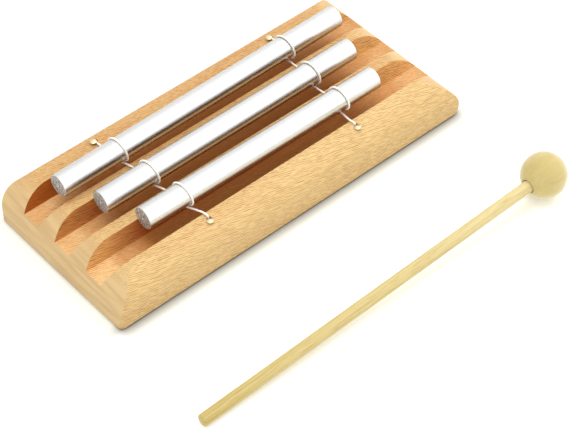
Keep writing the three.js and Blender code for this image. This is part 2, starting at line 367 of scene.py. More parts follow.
def braided_tube(name, line, across, distances):
    """A tube along the line. across holds a sideways direction for each point, and distances how far
    along the whole cord each point is, so that the braid runs on from one piece to the next."""
    verts = []
    heights = []
    for i, point in enumerate(line):
        ahead = (line[min(i + 1, len(line) - 1)] - line[max(i - 1, 0)]).normalized()
        side = across[i]
        other = ahead.cross(side)
        for k in range(CORD_SIDES):
            turn = 2 * math.pi * k / CORD_SIDES
            height = strand_height(turn, distances[i])
            radius = CORD_RADIUS - VALLEY_DEPTH * (1 - height)
            verts.append((point + (side * math.cos(turn) + other * math.sin(turn)) * radius) * MM)
            heights.append(height)
    faces = []
    for i in range(len(line) - 1):
        for k in range(CORD_SIDES):
            a = i * CORD_SIDES + k
            b = i * CORD_SIDES + (k + 1) % CORD_SIDES
            faces.append((a, b, b + CORD_SIDES, a + CORD_SIDES))
    faces.append(tuple(reversed(range(CORD_SIDES))))
    faces.append(tuple(range((len(line) - 1) * CORD_SIDES, len(line) * CORD_SIDES)))
    mesh = bpy.data.meshes.new(name)
    mesh.from_pydata(verts, [], faces)
    mesh.attributes.new("strand_height", "FLOAT", "POINT").data.foreach_set("value", heights)
    mesh.polygons.foreach_set("use_smooth", [len(face.vertices) == 4 for face in mesh.polygons])
    piece = bpy.data.objects.new(name, mesh)
    bpy.context.scene.collection.objects.link(piece)
    return piece


def sideways(line):
    """A direction square to the line at each of its points, carried along without twisting."""
    side = Vector((1, 0, 0))
    found = []
    for i in range(len(line)):
        ahead = (line[min(i + 1, len(line) - 1)] - line[max(i - 1, 0)]).normalized()
        side = (side - ahead * side.dot(ahead)).normalized()
        found.append(side)
    return found

# %% [markdown]
# A cord's line is cut into six lengths, and each becomes a piece. The braid is worked out for the whole
# cord first, so that the pieces meet without a seam.

# %% Cord pieces
cord_pieces = {}
for side_name, cord in CORDS.items():
    points, tops, rests = cord_route(cord)
    fine = smooth_line(points)
    cuts = [0]
    for i, top in enumerate(tops):
        cuts.append(top * SPAN_STEPS)
        if i < len(rests):
            cuts.append(rests[i] * SPAN_STEPS + SPAN_STEPS // 2)
    cuts.append(len(fine) - 1)
    lengths = [evenly(fine[a:b + 1], RING_SPACING) for a, b in zip(cuts, cuts[1:])]
    whole = [point for length in lengths for point in length[:-1]] + [lengths[-1][-1]]
    across = sideways(whole)
    distances = [0.0]
    for a, b in zip(whole, whole[1:]):
        distances.append(distances[-1] + (b - a).length)
    start = 0
    for i, length in enumerate(lengths):
        end = start + len(length)
        rod_name = list(RODS)[i // 2]
        part = "rising" if i % 2 == 0 else "falling"
        name = f"cord_{side_name}_{rod_name}_{part}"
        cord_pieces[name] = braided_tube(name, whole[start:end], across[start:end], distances[start:end])
        start = end - 1
    print("cord", side_name, "is", round(distances[-1], 1), "mm long")

# %% [markdown]
# ## The block
#
# The real block is one piece of steamed beech. A cutter with a rounded edge has gone along its front and
# back and over both ends, and three channels with sloping walls run out through the ends. Following that
# work gives the right creases for free: one slab is rounded along its length, another across it and a
# third has its upright corners rounded. What the three have in common is the block. Then the channels
# and the holes are cut.

# %% Rounded slabs
END_ROUND = 23
FRONT_ROUND = 15
BACK_ROUND = 8
FOOT_ROUND = 1.9
BACK_CORNER_ROUND = 4
FRONT_CORNER_ROUND = 6.3
OVERRUN = 2


def slab(name, length, width, over=0):
    """A plain slab that stands on the table, or goes over the block's height by as much both ways."""
    clear_selection()
    bpy.ops.mesh.primitive_cube_add(
        size=MM, location=(0, 0, BLOCK_HEIGHT / 2 * MM), scale=(length, width, BLOCK_HEIGHT + 2 * over)
    )
    return named(name)


def round_edge(piece, axis, side, height, radius, segments):
    """Rounds the edge that lies on one side of the slab (axis 0 is X, 1 is Y), below or above."""
    reach = max(abs(vertex.co[axis]) for vertex in piece.data.vertices)

    def on_edge(edge):
        ends = [vertex.co for vertex in edge.verts]
        return all(
            abs(end[axis] - side * reach) < 0.01 * MM and abs(end.z - height * MM) < 0.01 * MM
            for end in ends
        )

    pick(piece, "edges", on_edge)
    round_picked(radius, segments)
    clear_selection()


block = slab("chime_block", BLOCK_LENGTH + OVERRUN, BLOCK_WIDTH)
round_edge(block, 1, -1, BLOCK_HEIGHT, FRONT_ROUND, segments=40)
round_edge(block, 1, 1, BLOCK_HEIGHT, BACK_ROUND, segments=28)
across_slab = slab("across_slab", BLOCK_LENGTH, BLOCK_WIDTH + OVERRUN)
for side in (-1, 1):
    round_edge(block, 1, side, 0, FOOT_ROUND, segments=10)
    round_edge(across_slab, 0, side, BLOCK_HEIGHT, END_ROUND, segments=48)
    round_edge(across_slab, 0, side, 0, FOOT_ROUND, segments=10)
cut(block, across_slab, "INTERSECT")
upright_slab = slab("upright_slab", BLOCK_LENGTH, BLOCK_WIDTH, OVERRUN)
for side, radius in ((-1, FRONT_CORNER_ROUND), (1, BACK_CORNER_ROUND)):
    pick(
        upright_slab, "edges",
        lambda edge: abs(edge.verts[0].co.z - edge.verts[1].co.z) > BLOCK_HEIGHT * MM
        and edge.verts[0].co.y * side > 0,
    )
    round_picked(radius, segments=14)
print("a slab with rounded corners has", len(upright_slab.data.polygons), "faces")

# %% [markdown]
# The two front corners were knocked round at the foot only: a few millimetres up they are nearly sharp.
# So the third slab is cut into levels, and its front corners are drawn out again at each level. Last,
# rings of edges across the block keep the thin triangles round the holes off its long plain faces.

# %% Front corners
# Heights above the table, and how round the corners are there
CORNER_LEVELS = [
    (-OVERRUN, 6.3), (0.8, 5.2), (2, 3.6), (3.5, 2.3), (5.5, 1.5), (BLOCK_HEIGHT + OVERRUN, 1.3),
]
EDGE_RINGS = [-97, -69, -57, -46, 46, 57, 69, 97]

for height, _ in CORNER_LEVELS[1:-1]:
    slice_at(upright_slab, UP, height)
for height, radius in CORNER_LEVELS:
    for side in (-1, 1):
        corner = Vector((side * BLOCK_LENGTH / 2, -BLOCK_WIDTH / 2, height)) * MM
        reach = (FRONT_CORNER_ROUND + 0.01) * MM
        pick(
            upright_slab, "edges",
            lambda edge: all(
                abs(v.co.z - corner.z) < TINY
                and max(abs(v.co.x - corner.x), abs(v.co.y - corner.y)) < reach
                for v in edge.verts
            ),
        )
        share = radius / FRONT_CORNER_ROUND
        bpy.ops.transform.resize(value=(share, share, 1), center_override=corner)
clear_selection()
cut(block, upright_slab, "INTERSECT")
for x in EDGE_RINGS:
    slice_at(block, ALONG, x)
clear_selection()
print("the rounded block has", len(block.data.polygons), "faces")

# %% [markdown]
# A channel's cutter starts as a cube. Its floor is drawn in, which gives the walls their slope, and the
# two floor edges are eased a little, as a worn router bit leaves them.

# %% Channels
CHANNEL_DEPTH = 10
CHANNEL_FLOOR_WIDTH = 12.6
CHANNEL_FILLET = 0.5


def channel_cutter(y):
    """A bar with sloping sides that fills a channel, and reaches past the block above and at its ends."""
    flare = (CHANNEL_TOP_WIDTH - CHANNEL_FLOOR_WIDTH) / CHANNEL_DEPTH
    mouth = CHANNEL_TOP_WIDTH + flare * OVERRUN
    height = CHANNEL_DEPTH + OVERRUN
    clear_selection()
    bpy.ops.mesh.primitive_cube_add(
        size=MM,
        location=(0, y * MM, (BLOCK_HEIGHT - CHANNEL_DEPTH + height / 2) * MM),
        scale=(BLOCK_LENGTH + 2 * OVERRUN, mouth, height),
    )
    cutter = named("channel_cutter")
    floor = (BLOCK_HEIGHT - CHANNEL_DEPTH) * MM
    pick(cutter, "faces", lambda face: face.normal.z < -0.9)
    bpy.ops.transform.resize(value=(1, CHANNEL_FLOOR_WIDTH / mouth, 1))
    pick(cutter, "edges", lambda edge: abs(middle(edge).z - floor) < TINY and abs(middle(edge).x) < TINY)
    round_picked(CHANNEL_FILLET, segments=4)
    clear_selection()
    return cutter


for channel_y in CHANNEL_YS:
    cut(block, channel_cutter(channel_y))
print("with channels it has", len(block.data.polygons), "faces")

# %% [markdown]
# Nobody leaves the arris of a channel knife-sharp: a stroke of sandpaper breaks it. So the long edges of
# the channels get a fine bevel. The creases where two round-overs meet are left crisp, as they are on the
# real block.

# %% Eased channel edges
EASE = 0.35
ARRIS_ANGLE = 20

# A wall leans back, so its normal rises by this much
WALL_RISE = (0.3, 0.4)
END_START = 100


def channel_arris(edge):
    """True on the edges between a channel's wall and the wood above it."""
    if len(edge.link_faces) != 2 or edge.calc_face_angle(0) < math.radians(ARRIS_ANGLE):
        return False
    walls = [
        face for face in edge.link_faces
        if WALL_RISE[0] < face.normal.z < WALL_RISE[1] and abs(face.normal.x) < 0.01
    ]
    spot = middle(edge)
    above_floor = (BLOCK_HEIGHT - CHANNEL_DEPTH + 1) * MM
    return len(walls) == 1 and (spot.z > above_floor or abs(spot.x) > END_START * MM)


arris_count = pick(block, "edges", channel_arris)
round_picked(EASE, segments=3, clamp=True)
clear_selection()
print(arris_count, "channel edges were eased")

# %% [markdown]
# Each cord end has a hole of its own with a nail beside it, so the block is drilled twice in each of four
# places. The drill comes last, and the cord and the nail's head hide most of the rims.

# %% Holes for the cord ends and the nails
HOLE_RADIUS = 1.4
HOLE_DEPTH = 9
NAIL_HOLE_RADIUS = 1.0
NAIL_HEAD_RADIUS = 1.85


def drill(x, y, radius):
    """A drill bit that goes straight down into the block."""
    clear_selection()
    bpy.ops.mesh.primitive_cylinder_add(
        vertices=40, radius=radius * MM, depth=(HOLE_DEPTH + OVERRUN) * MM,
        location=(x * MM, y * MM, (BLOCK_HEIGHT + (OVERRUN - HOLE_DEPTH) / 2) * MM),
    )
    return named("drill")


for nail in NAILS.values():
    step_x, step_y = nail["hole_step"]
    cut(block, drill(nail["x"] + step_x, nail["y"] + step_y, HOLE_RADIUS))
    cut(block, drill(nail["x"], nail["y"], NAIL_HOLE_RADIUS))
smooth(block, 12)
print("the finished block has", triangles(block), "triangles")

# %% [markdown]
# ## The rods
#
# The rods are cut from drawn aluminium bar. The saw and the lathe leave a flat end with a fine chamfer
# and a small mark in its middle. A cylinder is the start. Its rims are bevelled, and the middle of each
# end is drawn in twice and pushed down for the mark.

# %% Rods
ROD_CHAMFER = 0.5
MARK_RADIUS = 0.75
MARK_RIM = 0.15
MARK_TIP = 0.05
MARK_DEPTH = 0.5


def rod_piece(name, rod):
    """A rod that is made upright and then laid down, turned as it lies over the block."""
    clear_selection()
    turn = rod["turn"]
    place = Vector((rod["x"] * math.cos(turn), rod["y"] + rod["x"] * math.sin(turn), ROD_HEIGHT))
    bpy.ops.mesh.primitive_cylinder_add(
        vertices=96, radius=ROD_RADIUS * MM, depth=rod["length"] * MM, end_fill_type="NGON"
    )
    piece = named(name)
    end = rod["length"] / 2 * MM
    pick(piece, "edges", lambda edge: all(abs(abs(v.co.z) - end) < TINY for v in edge.verts))
    round_picked(ROD_CHAMFER, segments=4)
    for side in (-1, 1):
        pick(piece, "faces", lambda face: face.normal.z * side > 0.999)
        bpy.ops.mesh.inset(thickness=(ROD_RADIUS - ROD_CHAMFER - MARK_RADIUS) * MM)
        bpy.ops.mesh.inset(thickness=MARK_RIM * MM, depth=0)
        bpy.ops.mesh.inset(thickness=(MARK_RADIUS - MARK_RIM - MARK_TIP) * MM, depth=-MARK_DEPTH * MM)
    clear_selection()
    lay_down = Matrix.Rotation(turn, 4, "Z") @ Matrix.Rotation(math.radians(90), 4, "Y")
    piece.data.transform(Matrix.Translation(place * MM) @ lay_down)
    smooth(piece, 35)
    return piece


rod_pieces = {name: rod_piece(f"chime_rod_{name}", rod) for name, rod in RODS.items()}
print("a rod has", triangles(rod_pieces["long"]), "triangles")

# %% [markdown]
# ## The nails
#
# Beside each cord end stands a small nail with a domed, plated head. The dome is the cap of a sphere,
# cut off by a plane. Its open rim goes down as the edge of the head, inwards to the shank, and down to a
# point. The nails stand upright, though the wood slopes under the front ones.

# %% One nail
HEAD_EDGE = 0.4
HEAD_DOME = 0.5
SHANK_RADIUS = 0.7
POINT_LENGTH = 1.4
NAIL_LENGTH = 8
DOME_RADIUS = (NAIL_HEAD_RADIUS ** 2 + HEAD_DOME ** 2) / (2 * HEAD_DOME)


def nail_piece(name, nail):
    """A nail that is made with the underside of its head at the origin, and then put in its place."""
    clear_selection()
    centre = HEAD_EDGE + HEAD_DOME - DOME_RADIUS
    bpy.ops.mesh.primitive_uv_sphere_add(
        segments=48, ring_count=64, radius=DOME_RADIUS * MM, location=(0, 0, centre * MM)
    )
    piece = named(name)
    slice_at(piece, UP, HEAD_EDGE, keep_above=True)
    pick(piece, "edges", lambda edge: edge.is_boundary)
    extrude_up(-HEAD_EDGE)
    extrude_up(0)
    bpy.ops.transform.resize(value=(SHANK_RADIUS / NAIL_HEAD_RADIUS,) * 3)
    extrude_up(POINT_LENGTH - NAIL_LENGTH)
    extrude_up(-POINT_LENGTH)
    bpy.ops.mesh.merge(type="CENTER")
    pick_all(piece)
    bpy.ops.mesh.normals_make_consistent(inside=False)
    clear_selection()
    piece.data.transform(Matrix.Translation(Vector((nail["x"], nail["y"], nail["head"])) * MM))
    smooth(piece, 40)
    return piece


nail_pieces = {name: nail_piece(f"pin_{name}", nail) for name, nail in NAILS.items()}
print("a nail has", triangles(nail_pieces["back_left"]), "triangles")

# %% [markdown]
# ## The mallet
#
# The mallet is a dowel stuck into a turned ball. Both are drawn about one line, with the stick's butt at
# the far end, and then laid on the table: the butt and the ball both touch it, so the stick rises by a
# little over two degrees.

# %% Where the mallet lies
BALL_RADIUS = 13.05
BORE_RADIUS = 3.75
BORE_DEPTH = 15
STICK_RADIUS = 3.45
STICK_END_GAP = 0.3
BUTT_ROUND = 1.2
MALLET_REACH = 238.9
MALLET_PLACE = Vector((111.45, -127.27, BALL_RADIUS)) * MM
MALLET_TURN = math.radians(-0.19)
MALLET_TILT = math.asin((BALL_RADIUS - STICK_RADIUS) / (MALLET_REACH - BUTT_ROUND))

# This lays an upright piece on the stick's line: its +Z becomes the way from the butt to the ball
mallet_lie = (
    Matrix.Translation(MALLET_PLACE)
    @ Matrix.Rotation(MALLET_TURN, 4, "Z")
    @ Matrix.Rotation(-MALLET_TILT, 4, "Y")
    @ Matrix.Rotation(math.radians(90), 4, "Y")
)
print("the stick rises by", round(math.degrees(MALLET_TILT), 2), "degrees")

# %% Stick
clear_selection()
stick_end = BORE_DEPTH - BALL_RADIUS - STICK_END_GAP
stick_length = MALLET_REACH + stick_end
bpy.ops.mesh.primitive_cylinder_add(
    vertices=64, radius=STICK_RADIUS * MM, depth=stick_length * MM,
    location=(0, 0, (stick_end - stick_length / 2) * MM), end_fill_type="NGON",
)
stick = named("mallet_dowel")
butt_z = -MALLET_REACH * MM
pick(stick, "edges", lambda edge: all(abs(v.co.z - butt_z) < TINY for v in edge.verts))
round_picked(BUTT_ROUND, segments=10)
pick(stick, "faces", lambda face: face.normal.z < -0.999)
bpy.ops.mesh.inset(thickness=(STICK_RADIUS - BUTT_ROUND) * 0.5 * MM)
clear_selection()
stick.data.transform(mallet_lie)
smooth(stick, 30)
print("the stick has", triangles(stick), "triangles")

# %% [markdown]
# The ball's poles are put on the stick's line, so that the bore is a clean round opening: a plane cuts
# the near cap off, and the open rim is turned inwards and pushed down the bore.

# %% Ball
MOUTH_ROUND = 0.5

# Steps round the bore's mouth: the share of the round that each goes inwards, and millimetres downwards
MOUTH_STEPS = [(0.5, 0.06), (0.3, 0.15), (0.2, 0.29)]

clear_selection()
bpy.ops.mesh.primitive_uv_sphere_add(segments=96, ring_count=64, radius=BALL_RADIUS * MM)
ball = named("mallet_ball")
mouth_radius = BORE_RADIUS + MOUTH_ROUND
mouth_z = -math.sqrt(BALL_RADIUS ** 2 - mouth_radius ** 2)
slice_at(ball, UP, mouth_z, keep_above=True)
for inward, down in MOUTH_STEPS:
    pick(ball, "edges", lambda edge: edge.is_boundary)
    ring = bmesh.from_edit_mesh(ball.data)
    radius_now = max(math.hypot(v.co.x, v.co.y) for v in ring.verts if v.is_boundary)
    share = (radius_now - inward * MOUTH_ROUND * MM) / radius_now
    extrude_up(down)
    bpy.ops.transform.resize(value=(share, share, 1))
pick(ball, "edges", lambda edge: edge.is_boundary)
extrude_up(BORE_DEPTH - BALL_RADIUS - MOUTH_ROUND - mouth_z)
bpy.ops.mesh.edge_face_add()
pick_all(ball)
bpy.ops.mesh.normals_make_consistent(inside=False)
clear_selection()
ball.data.transform(mallet_lie)
smooth(ball, 40)
print("the ball has", triangles(ball), "triangles")

# %% [markdown]
# ## Finishes
#
# Every finish starts from what the real surface is. Colours are written as they are seen on a screen and
# turned to the linear values that the shader wants. Patterns are as large as the real ones. Where a real
# one is too fine to show from here, it is drawn coarser, and the text says so.

# %% Helpers for finishes
def colour(code):
    """A colour written as on a screen, such as "d9a86c", for a shader."""
    parts = [int(code[i:i + 2], 16) / 255 for i in (0, 2, 4)]
    linear = [p / 12.92 if p <= 0.04045 else ((p + 0.055) / 1.055) ** 2.4 for p in parts]
    return (*linear, 1.0)


def new_finish(name):
    """A material with only its Principled shader and output."""
    finish = bpy.data.materials.new(name)
    finish.use_nodes = True
    return finish, finish.node_tree.nodes["Principled BSDF"]


def feed(finish, node, inputs):
    """Gives the inputs of a node their values, or links from the outputs of other nodes. They come by
    name, or as a list from the first on: a Map Range node takes its value, the range that it comes from
    and the range that it is spread over."""
    if isinstance(inputs, list):
        inputs = dict(enumerate(inputs))
    for name, value in inputs.items():
        if isinstance(value, bpy.types.NodeSocket):
            finish.node_tree.links.new(value, node.inputs[name])
        else:
            node.inputs[name].default_value = value


def add_node(finish, kind, inputs=None, output=0, **settings):
    """Adds a node with its settings and inputs. Its first output comes back, or the one asked for."""
    node = finish.node_tree.nodes.new("ShaderNode" + kind)
    for name, value in settings.items():
        setattr(node, name, value)
    feed(finish, node, inputs or {})
    return node.outputs[output]


def wear(piece, *finishes):
    """Gives a piece its finishes in the order of its slots."""
    piece.data.materials.clear()
    for finish in finishes:
        piece.data.materials.append(finish)


# A Mix node has sockets for each type of value, and these are the ones for colours
SHARE = 0
LOW = 6
HIGH = 7
COLOUR_MIX = {"output": 2, "data_type": "RGBA"}

# %% [markdown]
# A pattern reads the place on the piece and divides it by the size of one of its cells. It can be turned,
# so that the cells lie along the grain. Noise in long, narrow cells gives dashes that waver as the real
# ones do.

# %% Places on a piece
def cells(finish, size, turn=(0, 0, 0)):
    """The place, counted in cells of this length, width and depth in millimetres."""
    where = add_node(finish, "TexCoord", output="Object")
    scale = tuple(side * MM for side in size)
    return add_node(
        finish, "Mapping", {"Vector": where, "Rotation": turn, "Scale": scale}, vector_type="TEXTURE"
    )


def mottle(finish, cell, turn=(0, 0, 0), detail=2.0, roughness=0.5, distortion=0.0):
    """A pattern of soft patches, from 0 to 1, that are about as long, wide and deep as the cell."""
    return add_node(finish, "TexNoise", {
        "Vector": cells(finish, cell, turn), "Scale": 1.0, "Detail": detail, "Roughness": roughness,
        "Distortion": distortion,
    })


def ramp(finish, axis, start, end, low=0.0, high=1.0):
    """Goes from low to high between two places along X, Y or Z, in millimetres."""
    where = add_node(finish, "TexCoord", output="Object")
    along = add_node(finish, "SeparateXYZ", {"Vector": where}, output=axis)
    return add_node(finish, "MapRange", [along, start * MM, end * MM, low, high])

# %% [markdown]
# ### Oiled beech
#
# Steamed beech is a warm tan wood. What marks it are its rays: thin sheets of cells that show as short,
# fine dark dashes, 2 to 6 mm long, all along the grain. The growth rings show as broad soft bands, paler
# towards the front of this block. The patterns fill space, so they run over the round edges as in real
# wood, a little downhill to the right.
#
# The top was sanded pale. The channels were left as the router cut them, so they drank more oil and are a
# deeper orange-brown, most of all on their walls, and their colour also holds painted shade of the rods
# above them. Towards their ends, past the rods, they turn pale with painted light, except at the back of
# the walls' left ends, which keep a painted shade of the long rod. On the round-overs at the block's ends
# the rays are cut across and fade, and thin layers of the rings show. So one recipe gives four finishes.

# %% Growth rings
GRAIN_TURN = (0, math.radians(10.2), math.radians(-7.2))
RAY_TURN = (math.radians(50), *GRAIN_TURN[1:])
RING_CELL = (150, 18, 7)
FRONT_Y = -50
BACK_Y = 50
BACKWARD_SHIFT = 0.28


def backwards(finish):
    """From minus the shift at the front of the block to plus the shift at its back."""
    return ramp(finish, "Y", FRONT_Y, BACK_Y, -BACKWARD_SHIFT, BACKWARD_SHIFT)


def ring_tint(finish, pale, deep):
    """The wood between the rays, in soft bands of two colours."""
    rings = mottle(finish, RING_CELL, RAY_TURN, detail=3.0, distortion=0.2)
    band = add_node(finish, "Math", [rings, backwards(finish)], operation="ADD")
    share = add_node(finish, "MapRange", [band, 0.2, 0.8])
    return add_node(finish, "Mix", {SHARE: share, LOW: colour(pale), HIGH: colour(deep)}, **COLOUR_MIX)

# %% Ends of the block, and painted light and shade in the channels
LAYER_CELL = (150, 30, 2.6)
# The walls' painted shade of the long rod is full on the left half of the block and towards the back
LEFT_HALF = (20, -20)
PAINTED_ROD_SHADE_BACK = (-0.14, 0.16)


def end_colours_and_painted_light(finish, tint, ends, painted_rod_shade):
    """Turns the tint to two other colours over two stretches of X. Each has its start, where it is full
    and the share that it reaches. On the block's round-over ends they are the end grain's colours. In the
    channels they are painted light, where the rods no longer shade them. The two colours lie in layers,
    or, for the walls, the second one is a painted shade of the long rod that lies at the back of the left
    end only."""
    light, dark, *stretches = ends
    if painted_rod_shade:
        on_left = ramp(finish, "X", *LEFT_HALF)
        at_back = add_node(finish, "MapRange", [backwards(finish), *PAINTED_ROD_SHADE_BACK])
        dark_share = add_node(finish, "Math", [at_back, on_left], operation="MULTIPLY")
    else:
        layers = mottle(finish, LAYER_CELL, GRAIN_TURN, detail=1.0)
        dark_share = add_node(finish, "MapRange", [layers, 0.38, 0.62])
    end_colours = add_node(
        finish, "Mix", {SHARE: dark_share, LOW: colour(light), HIGH: colour(dark)}, **COLOUR_MIX
    )
    left, right = (ramp(finish, "X", start, full, 0.0, reached) for start, full, reached in stretches)
    # In the channels this share paints light where the rods no longer shade them; on the block's ends it
    # gives the end grain's colours
    sanded = add_node(finish, "Math", [left, right], operation="ADD")
    return add_node(finish, "Mix", {SHARE: sanded, LOW: tint, HIGH: end_colours}, **COLOUR_MIX)

# %% [markdown]
# The rays are wavy lines that noise breaks into dashes, with finer ones between them. Turned by 50
# degrees about the grain, they cut the top, the front and the walls alike. Real rays lie about half a
# millimetre apart. They are drawn 0.88 mm apart, or they would melt into a haze from here.

# %% Rays
RAY_SPACING = 0.88

# At a scale of 1, the lines of a Wave texture are this far apart
WAVE_PERIOD = 2 * math.pi / 20
WAVE_CELL = (7, 1, 1)
BREAK_CELL = (6, 0.9, 0.9)
FINE_CELL = (5, 0.45, 0.45)
PATCH_CELL = (40, 9, 9)

# Where the rays start to fade and how far they have faded then, near both ends
FADE_START = 100
FADE_END = 113
FADED_SHARE = 0.12


def ray_dashes(finish, strength, fade):
    """From 0 between the rays to the strength on them. With fade they end near the ends of the block."""
    lines = add_node(
        finish, "TexWave",
        {
            "Vector": cells(finish, WAVE_CELL, RAY_TURN), "Scale": WAVE_PERIOD / RAY_SPACING,
            "Distortion": 4.5, "Detail Scale": 1.6, "Detail Roughness": 0.6,
        },
        output="Fac", bands_direction="Y",
    )
    crisp = add_node(finish, "MapRange", [lines, 0.5, 0.8])
    breaks = mottle(finish, BREAK_CELL, RAY_TURN, detail=1.0)
    broken = add_node(finish, "MapRange", [breaks, 0.34, 0.54])
    coarse = add_node(finish, "Math", [crisp, broken], operation="MULTIPLY")
    flecks = mottle(finish, FINE_CELL, RAY_TURN, detail=1.0, distortion=0.1)
    fine = add_node(finish, "MapRange", [flecks, 0.52, 0.64, 0.0, 0.4])
    dashes = add_node(finish, "Math", [coarse, fine], operation="MAXIMUM")
    weak_spots = mottle(finish, PATCH_CELL, RAY_TURN)
    patches = add_node(finish, "MapRange", [weak_spots, 0.3, 0.7, 0.8 * strength, strength])
    rays = add_node(finish, "Math", [dashes, patches], operation="MULTIPLY")
    for side in (-1, 1) if fade else ():
        kept = ramp(finish, "X", side * FADE_START, side * FADE_END, 1.0, FADED_SHARE)
        rays = add_node(finish, "Math", [rays, kept], operation="MULTIPLY")
    return rays

# %% Beech
RAY_DENT = 0.05


def beech_finish(name, pale, deep, ray, strength, gloss, ends=None, painted_rod_shade=False, fade=False):
    """Beech from its pale and deep wood colours, the colour and strength of its rays, and its gloss."""
    finish, shader = new_finish(name)
    tint = ring_tint(finish, pale, deep)
    if ends:
        tint = end_colours_and_painted_light(finish, tint, ends, painted_rod_shade)
    rays = ray_dashes(finish, strength, fade)
    wood = add_node(finish, "Mix", {SHARE: rays, LOW: tint, HIGH: colour(ray)}, **COLOUR_MIX)
    bump = add_node(
        finish, "Bump", {"Height": rays, "Strength": 0.2, "Distance": RAY_DENT * MM}, invert=True
    )
    feed(finish, shader, {
        "Base Color": wood, "Roughness": gloss, "Specular IOR Level": 0.25, "Normal": bump,
    })
    return finish


SANDED = ("dcbb82", "c99b63", "905a26", 0.62, 0.5)
sanded_beech = beech_finish("oiled_sanded_beech", *SANDED)
# The channels' colours hold painted shade of the rods above them. Towards their ends they turn pale with
# painted light, and the walls keep a painted shade of the long rod at the back of their left ends.
floor_beech = beech_finish(
    "routed_floor_beech_painted_shade", "b6763a", "a05c26", "7c421a", 0.42, 0.7,
    ends=("eec48a", "e0ae74", (-78, -106, 0.95), (62, 104, 0.6)),
)
wall_beech = beech_finish(
    "routed_wall_beech_painted_shade", "b45e1c", "823406", "552206", 0.6, 0.7,
    ends=("ecb66e", "ac5c18", (-76, -104, 0.85), (58, 96, 0.8)), painted_rod_shade=True,
)
end_beech = beech_finish(
    "oiled_end_grain_beech", *SANDED,
    ends=("d7b985", "cba97a", (-99, -113, 1.0), (99, 113, 1.0)), fade=True,
)
wear(block, sanded_beech, floor_beech, wall_beech, end_beech)
print("the block wears", [finish.name for finish in block.data.materials])

# %% Which face of the block has which finish
FLOOR_SLOT = 1
WALL_SLOT = 2
END_SLOT = 3
EASED_RIM = 0.4
NEAR = 0.1


def in_channel(face):
    """True on a channel's floor, its walls and the fillets between them."""
    up = face.center.z / MM - (BLOCK_HEIGHT - CHANNEL_DEPTH)
    if up < -NEAR or up > CHANNEL_DEPTH - EASED_RIM or abs(face.normal.x) > 0.05:
        return False
    half = (CHANNEL_FLOOR_WIDTH + (CHANNEL_TOP_WIDTH - CHANNEL_FLOOR_WIDTH) * up / CHANNEL_DEPTH) / 2
    return any(abs(face.center.y / MM - y) < half + NEAR for y in CHANNEL_YS)


for face in block.data.polygons:
    if in_channel(face):
        face.material_index = FLOOR_SLOT if face.normal.z > 0.9 else WALL_SLOT
    elif abs(face.normal.x) > 0.01 and abs(face.normal.y) < 0.01:
        face.material_index = END_SLOT
slots = [face.material_index for face in block.data.polygons]
counts = [slots.count(slot) for slot in (FLOOR_SLOT, WALL_SLOT, END_SLOT)]
print("faces on the channels' floors, on their walls and on the ends:", counts)

# %% [markdown]
# ### Drawn and faced aluminium
#
# Bar that was drawn through a die and satin anodised has fine lines along its length under a thin clear
# film. Both soften what it mirrors, so the rods shine in broad bands with soft edges. The real lines are
# a few hundredths of a millimetre wide, and are drawn 0.35 mm wide to show at all. The ends were faced,
# which leaves a duller, slightly blotchy grey.

# %% Aluminium
DRAWN_LINE = (60, 0.35, 0.35)
BLOTCH = (1.2, 1.2, 1.2)
END_FACING = 0.75

drawn_aluminium, shader = new_finish("drawn_aluminium")
lines = mottle(drawn_aluminium, DRAWN_LINE, detail=4.0, roughness=0.6)
satin = add_node(drawn_aluminium, "MapRange", [lines, 0.3, 0.7, 0.25, 0.31])
feed(drawn_aluminium, shader, {"Base Color": colour("cfcfce"), "Metallic": 1.0, "Roughness": satin})

faced_aluminium, shader = new_finish("faced_aluminium")
blotches = mottle(faced_aluminium, BLOTCH, detail=4.0, roughness=0.6)
share = add_node(faced_aluminium, "MapRange", [blotches, 0.36, 0.62])
greys = add_node(
    faced_aluminium, "Mix", {SHARE: share, LOW: colour("7f7e7e"), HIGH: colour("cdccca")}, **COLOUR_MIX
)
feed(faced_aluminium, shader, {"Base Color": greys, "Metallic": 1.0, "Roughness": 0.6})

for name, piece in rod_pieces.items():
    wear(piece, drawn_aluminium, faced_aluminium)
    along = Vector((math.cos(RODS[name]["turn"]), math.sin(RODS[name]["turn"]), 0))
    for face in piece.data.polygons:
        face.material_index = 1 if abs(face.normal.dot(along)) > END_FACING else 0
print(len(rod_pieces), "rods are drawn and faced")

# %% [markdown]
# ### White braid
#
# The cover of the cord is braided from slightly glossy polyester thread. The strands are white and let
# some light through, so their shaded sides stay bright. The valleys between them are painted a little
# warmer and darker, a painted shade for the light that gets in less there.

# %% Braid
LIGHT_REACH = 0.5

braid, shader = new_finish("white_polyester_braid")
height = add_node(braid, "Attribute", output="Fac", attribute_name="strand_height")
share = add_node(braid, "MapRange", [height, 0.35, 0.95])
# Painted shade: the valleys between the strands get a warmer, darker white
whites_with_painted_valley_shade = add_node(
    braid, "Mix", {SHARE: share, LOW: colour("f4eadd"), HIGH: colour("fffefc")}, **COLOUR_MIX
)
feed(braid, shader, {
    "Base Color": whites_with_painted_valley_shade, "Roughness": 0.65, "Subsurface Weight": 0.5,
    "Subsurface Scale": LIGHT_REACH * MM, "Subsurface Radius": (1.0, 1.0, 1.0),
})
for piece in cord_pieces.values():
    wear(piece, braid)
print(len(cord_pieces), "cord pieces are braided")

# %% [markdown]
# ### Nickel plate
#
# The nail heads are plated steel: bright, faintly yellow, with the small dull spots of a cheap plating.

# %% Nickel
PLATING_SPOT = (0.8, 0.8, 0.8)

